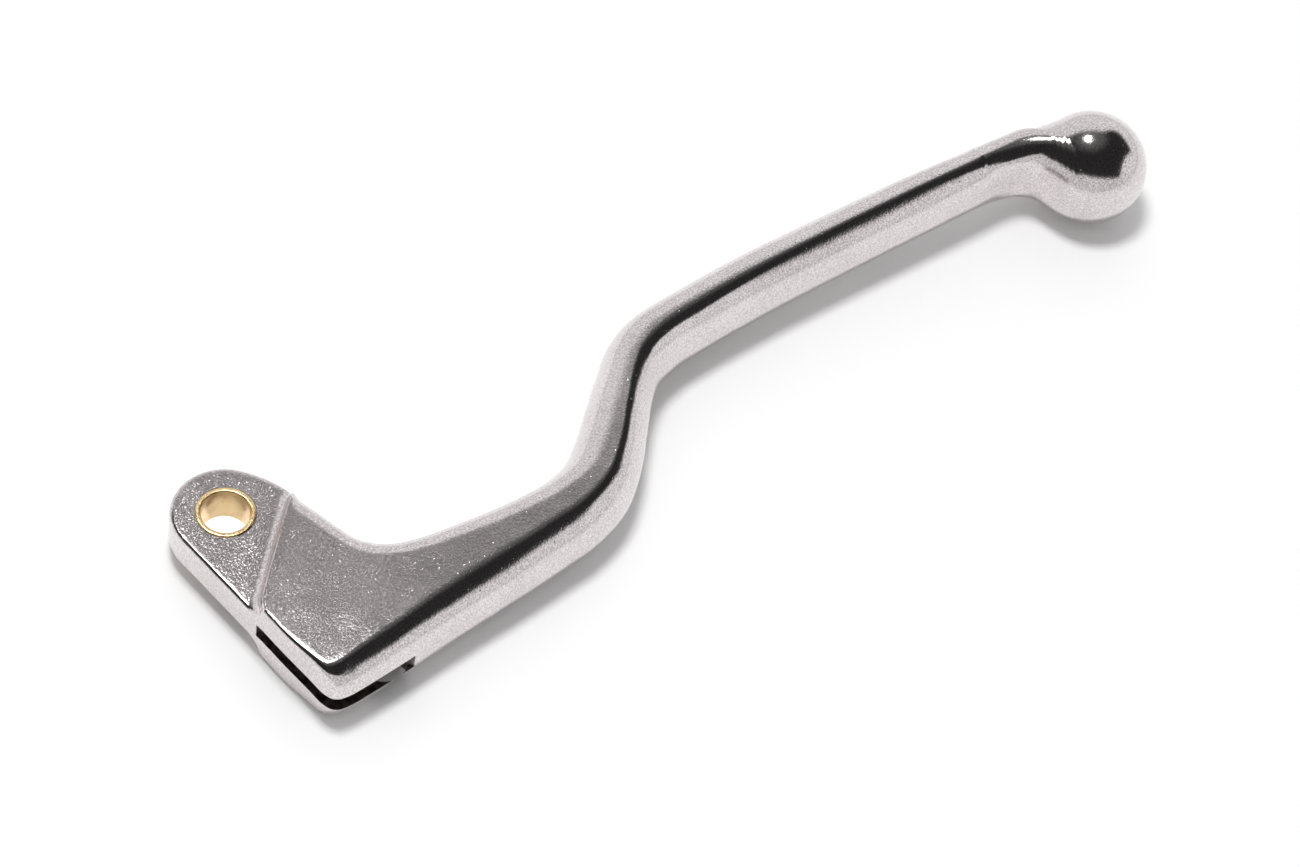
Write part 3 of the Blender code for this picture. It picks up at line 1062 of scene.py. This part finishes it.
    def upright_cutter(
        self, tree: GeometryTree, name: str, centre: tuple, radius: float, ends: tuple
    ) -> bpy.types.NodeSocket:
        """Add an upright cylinder to a tree.

        Args:
            tree: The tree.
            name: What the cylinder cuts, for the names of its inputs.
            centre: Its place in plan.
            radius: Its radius.
            ends: The heights of its two ends.

        Returns:
            The socket that carries the cylinder.
        """
        radius_in = tree.input(f"{name} Radius", Socket.NUMBER, radius * MM)
        place_in = tree.input(f"{name} Place", Socket.VECTOR, Vector((*centre, sum(ends) / 2)) * MM)
        depth = (ends[1] - ends[0]) * MM
        cylinder = tree.add("GeometryNodeMeshCylinder", {"Vertices": self.density.bore, "Depth": depth})
        tree.feed(cylinder.inputs["Radius"], radius_in)
        moved = tree.add("GeometryNodeTransform", {"Geometry": cylinder.outputs["Mesh"]})
        tree.feed(moved.inputs["Translation"], place_in)
        return moved.outputs["Geometry"]

    def bush_hole_cutter(self, tree: GeometryTree) -> bpy.types.NodeSocket:
        """Return the hole that the bush is pressed into."""
        past = self.eye_half_height + self.cutter_overshoot
        ends = (-past, past)
        return self.upright_cutter(tree, "Bush Hole", (0.0, 0.0), self.bush_hole_radius, ends)

    def nipple_cutter(self, tree: GeometryTree) -> bpy.types.NodeSocket:
        """Return the bore for the cable's nipple: open below, blind above."""
        ends = (-self.ball_radius, self.nipple_top)
        return self.upright_cutter(tree, "Nipple", self.nipple_centre, self.nipple_radius, ends)

    def slot_cutter(self, tree: GeometryTree) -> bpy.types.NodeSocket:
        """Return the flat block that cuts the cable slot across the head's front-left corner.

        Args:
            tree: The tree that the block goes into.

        Returns:
            The socket that carries the block.
        """
        left = Vector(self.slot_left_end)
        right = Vector(self.slot_right_end)
        along = (right - left).normalized()
        outward = Vector((along.y, -along.x))
        middle = (left + right) / 2 + outward * self.slot_reach / 2
        height = tree.input("Slot Height", Socket.NUMBER, self.slot_height * MM)
        place = tree.input("Slot Place", Socket.VECTOR, Vector((*middle, 0.0)) * MM)
        size = tree.add("ShaderNodeCombineXYZ", {"X": (right - left).length * MM, "Z": height})
        tree.feed(size.inputs["Y"], self.slot_reach * MM)
        block = tree.add("GeometryNodeMeshCube", {"Size": size.outputs["Vector"]})
        turn = (0.0, 0.0, math.atan2(along.y, along.x))
        moved = tree.add("GeometryNodeTransform", {"Geometry": block.outputs["Mesh"], "Rotation": turn})
        tree.feed(moved.inputs["Translation"], place)
        return moved.outputs["Geometry"]

    def build(self) -> list[bpy.types.Object]:
        """Build the lever and hang it on the frame."""
        piece = self.machine(self.skin())
        piece.data.set_sharp_from_angle(angle=math.radians(self.sharp_angle))
        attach(piece, BODY)
        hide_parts("lever")
        return [piece]


# ------------------------------------------------------------------------------------ bush


@dataclass
class PivotBush:
    """The brass sleeve that is pressed into the eye: a rounded wall section turned round the pivot."""

    outer_radius: float = 5.0
    inner_radius: float = 4.0
    half_length: float = 3.45
    rim_radius: float = 0.28
    rim_segments: int = 5
    segments: int = 160
    finish: BearingBrass = BearingBrass()

    def build(self) -> list[bpy.types.Object]:
        """Build the bush and hang it on the frame."""
        tree = GeometryTree("bush_turning")
        outer = tree.input("Outer Radius", Socket.NUMBER, self.outer_radius * MM)
        inner = tree.input("Inner Radius", Socket.NUMBER, self.inner_radius * MM)
        length = tree.input("Length", Socket.NUMBER, 2 * self.half_length * MM)
        rim = tree.input("Rim Radius", Socket.NUMBER, self.rim_radius * MM)
        finish = tree.input("Finish", Socket.MATERIAL, self.finish.build())
        wall = tree.math("SUBTRACT", outer, inner)
        middle = tree.math("DIVIDE", tree.math("ADD", outer, inner), 2.0)
        section = tree.add("GeometryNodeCurvePrimitiveQuadrilateral", {"Width": wall, "Height": length})
        rounded = tree.add("GeometryNodeFilletCurve", {"Curve": section.outputs["Curve"], "Radius": rim})
        self.set_fillet(rounded)
        circle = tree.add("GeometryNodeCurvePrimitiveCircle", {"Resolution": self.segments})
        tree.feed(circle.inputs["Radius"], middle)
        turned = tree.add("GeometryNodeCurveToMesh", {"Curve": circle.outputs["Curve"]})
        tree.feed(turned.inputs["Profile Curve"], rounded.outputs["Curve"])
        real = tree.add("GeometryNodeRealizeInstances", {"Geometry": turned.outputs["Mesh"]})
        dressed = tree.add("GeometryNodeSetMaterial", {"Geometry": real.outputs["Geometry"]})
        tree.feed(dressed.inputs["Material"], finish)
        tree.finish(dressed.outputs["Geometry"])
        piece = in_scene("bush_sleeve", bpy.data.meshes.new("bush_sleeve"))
        tree.run(piece)
        self.face_outwards(piece.data)
        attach(piece, BODY)
        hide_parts("pivot_bush")
        return [piece]

    def set_fillet(self, node: bpy.types.Node) -> None:
        """Make the section's corners short rows of straight facets."""
        node.mode = "POLY"
        node.inputs["Count"].default_value = self.rim_segments

    def face_outwards(self, mesh: bpy.types.Mesh) -> None:
        """Merge the section's doubled points and turn every face outwards."""
        mesh_data = bmesh.new()
        mesh_data.from_mesh(mesh)
        bmesh.ops.remove_doubles(mesh_data, verts=mesh_data.verts, dist=MERGE_DISTANCE * MM)
        bmesh.ops.recalc_face_normals(mesh_data, faces=mesh_data.faces)
        for face in mesh_data.faces:
            face.smooth = True
        mesh_data.to_mesh(mesh)
        mesh_data.free()


# ------------------------------------------------------------------------------------ studio


@dataclass
class Studio:
    """White paper, a bright low surround with a dark ceiling, and four lights.

    The lamp, high behind the lever, glints in the metal and doesn't light the paper. The key and the fill
    hang overhead, light the paper and don't show in the metal. The snoot's narrow beam passes through the
    bush and lights the paper behind its bore. Each softness is half the width of a soft edge. The front's
    and the back's are angles. The other softnesses and the starts belong to sines and cosines of
    directions, so they have no unit.
    """

    azimuth: float = -38.88
    elevation: float = 52.61
    roll: float = 9.855
    lens: float = 124.6
    sensor: float = 36.0
    distance: float = 0.74496
    nearest: float = 0.01
    aim_from_middle: tuple[float, float] = (-0.01480, -0.00122)
    paper_size: float = 3.0
    paper_divisions: int = 4
    lamp_back: float = 21.6
    lamp_side: float = -10.5
    lamp_distance: float = 1.2
    lamp_radius: float = 0.12
    lamp_power: float = 1.8
    key_size: float = 0.26
    key_lean: tuple[float, float] = (-0.13, 0.04)
    key_power: float = 6.0
    fill_size: float = 2.6
    fill_power: float = 9.0
    overhead: float = 1.0
    snoot_degrees: float = 1.15
    snoot_power: float = 26.0
    snoot_blend: float = 0.2
    snoot_radius: float = 0.001
    surround: float = 0.86
    front_surround: float = 0.72
    ceiling: float = 0.025
    ceiling_glow: float = 0.11
    front_edge: float = 30.0
    front_softness: float = 3.0
    back_edge: float = 50.5
    back_softness: float = 7.5
    side_edge: float = 61.0
    right_softness: float = 0.03
    left_softness: float = 0.05
    right_drop: float = 22.0
    drop_start: float = 0.3
    drop_softness: float = 0.2
    ahead_start: float = 0.35
    ahead_softness: float = 0.25
    glow_start: float = 0.9
    glow_softness: float = 0.1
    paper: StudioPaper = StudioPaper()

    def axes(self) -> tuple[Vector, Vector, Vector]:
        """Return the camera's plan directions: to the right, away from it, and up."""
        turn = math.radians(self.azimuth)
        right = Vector((math.cos(turn), math.sin(turn), 0.0))
        away = Vector((-math.sin(turn), math.cos(turn), 0.0))
        return right, away, Vector((0.0, 0.0, 1.0))

    def add_camera(self) -> None:
        """Put the camera in the scene and make it the scene's own."""
        right, away, up = self.axes()
        rise = math.radians(self.elevation)
        roll = math.radians(self.roll)
        back = up * math.sin(rise) - away * math.cos(rise)
        over = up * math.cos(rise) + away * math.sin(rise)
        across = right * math.cos(roll) + over * math.sin(roll)
        upward = over * math.cos(roll) - right * math.sin(roll)
        data = bpy.data.cameras.new("camera")
        data.lens = self.lens
        data.sensor_width = self.sensor
        data.clip_start = self.nearest
        camera = in_scene("camera", data)
        camera.matrix_world = self.placed(across, upward, back, self.aim() + back * self.distance)
        bpy.context.scene.camera = camera

    def aim(self) -> Vector:
        """Return the point that the camera looks at, a little to the eye's side of the middle."""
        low, high = (Vector(corner) for corner in CAD_BOX)
        middle = (low + high) / 2
        return Vector((middle.x + self.aim_from_middle[0], middle.y + self.aim_from_middle[1], 0.0))

    @staticmethod
    def placed(x_axis: Vector, y_axis: Vector, z_axis: Vector, place: Vector) -> Matrix:
        """Return the matrix that has three axes and a place."""
        turn = Matrix((x_axis, y_axis, z_axis)).transposed().to_4x4()
        return Matrix.Translation(place) @ turn

    def add_paper(self, lever: ForgedLever) -> None:
        """Lay the paper where the lever rests: under the head and under the ball.

        Args:
            lever: The lever, whose sizes give the two resting points.
        """
        slopes = []
        for cut in lever.body:
            run = lever.ball_centre[0] - min(cut.rear[0], cut.front[0])
            slopes.append((lever.ball_radius - cut.half_height) / run)
        slope = min(slopes)
        lowest = -(lever.ball_radius + lever.ripple_height) * MM
        mesh_data = bmesh.new()
        parts = self.paper_divisions
        bmesh.ops.create_grid(mesh_data, x_segments=parts, y_segments=parts, size=self.paper_size)
        middle = Vector((lever.ball_centre[0] * MM, 0.0, 0.0))
        for vert in mesh_data.verts:
            vert.co += middle
            vert.co.z = lowest - slope * (vert.co.x - middle.x)
        mesh = bpy.data.meshes.new("paper")
        mesh_data.to_mesh(mesh)
        mesh_data.free()
        mesh.materials.append(self.paper.build())
        paper = in_scene("paper", mesh)

    def hang(
        self, name: str, towards: Vector, distance: float, size: float, power: float
    ) -> bpy.types.Object:
        """Hang a round light that faces the lever.

        Args:
            name: The light's name.
            towards: The direction from the lever to the light.
            distance: How far away it is.
            size: Its diameter.
            power: Its power in watts.

        Returns:
            The light.
        """
        data = bpy.data.lights.new(name, "AREA")
        data.shape = "DISK"
        data.size = size
        data.energy = power
        light = in_scene(name, data)
        light.location = self.aim() + towards.normalized() * distance
        light.rotation_euler = towards.to_track_quat("Z", "Y").to_euler()
        return light

    def lamp_direction(self) -> Vector:
        """Return the direction from the lever to the lamp."""
        right, away, up = self.axes()
        back = math.radians(self.lamp_back)
        side = math.radians(self.lamp_side)
        return (up * math.cos(back) + away * math.sin(back)) * math.cos(side) + right * math.sin(side)

    def add_lights(self) -> None:
        """Hang the small lamp that glints in the metal, and the key and the fill that light the paper."""
        right, away, up = self.axes()
        towards = self.lamp_direction()
        lamp = self.hang("lamp", towards, self.lamp_distance, 2 * self.lamp_radius, self.lamp_power)
        lamp.visible_diffuse = False
        lean = up + right * self.key_lean[0] + away * self.key_lean[1]
        key = self.hang("key", lean, self.overhead, self.key_size, self.key_power)
        key.visible_glossy = False
        fill = self.hang("fill", up, self.overhead, self.fill_size, self.fill_power)
        fill.visible_glossy = False

    def add_snoot(self) -> None:
        """Shine a narrow beam from the camera's place through the bush, onto the paper behind its bore."""
        data = bpy.data.lights.new("snoot", "SPOT")
        data.energy = self.snoot_power
        data.spot_size = math.radians(self.snoot_degrees)
        data.spot_blend = self.snoot_blend
        data.shadow_soft_size = self.snoot_radius
        snoot = in_scene("snoot", data)
        snoot.location = bpy.context.scene.camera.matrix_world.translation
        snoot.rotation_euler = snoot.location.to_track_quat("Z", "Y").to_euler()
        snoot.visible_glossy = False

    def add_surround(self) -> None:
        """Light the scene from a white surround with a dark patch overhead."""
        world = bpy.data.worlds.new("surround")
        bpy.context.scene.world = world
        world.use_nodes = True
        graph = Graph(world.node_tree)
        ray = graph.add("ShaderNodeTexCoord").outputs["Generated"]
        right, away, up = self.axes()
        parts = [self.along(graph, ray, axis) for axis in (right, away, up)]
        pitch = graph.math("ARCTAN2", parts[2], graph.math("MULTIPLY", parts[1], -1.0))
        front_limits = (math.radians(self.front_edge), math.radians(self.front_softness))
        front = self.edge(graph, pitch, *front_limits)
        turned = self.edge(graph, parts[0], self.drop_start, self.drop_softness)
        drop = graph.math("MULTIPLY", turned, math.radians(self.right_drop))
        lowered = graph.math("SUBTRACT", pitch, drop)
        softness = math.radians(self.back_softness)
        back = self.edge(graph, lowered, math.radians(180.0 - self.back_edge), softness)
        reach = math.sin(math.radians(self.side_edge))
        right_end = self.edge(graph, parts[0], reach, self.right_softness)
        leftward = graph.math("MULTIPLY", parts[0], -1.0)
        left_end = self.edge(graph, leftward, reach, self.left_softness)
        dark = front
        for bright_part in (back, right_end, left_end):
            dark = graph.math("MULTIPLY", dark, graph.math("SUBTRACT", 1.0, bright_part))
        nearward = graph.math("MULTIPLY", parts[1], -1.0)
        ahead = self.edge(graph, nearward, self.ahead_start, self.ahead_softness)
        lit = graph.math("MULTIPLY", ahead, self.front_surround - self.surround)
        lit = graph.math("ADD", lit, self.surround)
        bright = graph.math("MULTIPLY", lit, graph.math("SUBTRACT", 1.0, dark))
        near_lamp = self.along(graph, ray, self.lamp_direction())
        glow = self.edge(graph, near_lamp, self.glow_start, self.glow_softness)
        overhead = graph.math("ADD", graph.math("MULTIPLY", glow, self.ceiling_glow), self.ceiling)
        strength = graph.math("ADD", bright, graph.math("MULTIPLY", dark, overhead))
        background = world.node_tree.nodes["Background"]
        background.inputs["Color"].default_value = (1.0, 1.0, 1.0, 1.0)
        graph.feed(background.inputs["Strength"], strength)

    def along(self, graph: Graph, ray: object, axis: Vector) -> object:
        """Return how far a ray points along an axis."""
        product = graph.add("ShaderNodeVectorMath", {0: ray, 1: axis}, operation="DOT_PRODUCT")
        return product.outputs["Value"]

    def edge(self, graph: Graph, value: object, where: float, width: float) -> object:
        """Return 0 below a value and 1 above it, with a soft edge between."""
        inputs = {"Value": value, 1: where - width, 2: where + width}
        node = graph.add("ShaderNodeMapRange", inputs, interpolation_type="SMOOTHSTEP")
        return node.outputs["Result"]

    def build(self, lever: ForgedLever) -> None:
        """Set the whole studio up round the lever."""
        bpy.context.scene.view_settings.view_transform = "Standard"
        self.add_camera()
        self.add_paper(lever)
        self.add_lights()
        self.add_snoot()
        self.add_surround()


def report(pieces: list[bpy.types.Object]) -> None:
    """Log what each piece is made of.

    Args:
        pieces: The finished pieces of one sub-assembly.
    """
    for piece in pieces:
        triangles = sum(len(polygon.vertices) - 2 for polygon in piece.data.polygons)
        finishes = ", ".join(str(material and material.name) for material in piece.data.materials)
        LOG.info("%s: %d triangles, %s", piece.name, triangles, finishes)


def main() -> None:
    """Build the pieces in order, then the studio."""
    logging.basicConfig(level=logging.INFO, format="%(name)s: %(message)s")
    lever = ForgedLever()
    report(lever.build())
    report(PivotBush().build())
    Studio().build(lever)


if __name__ == "__main__":
    main()
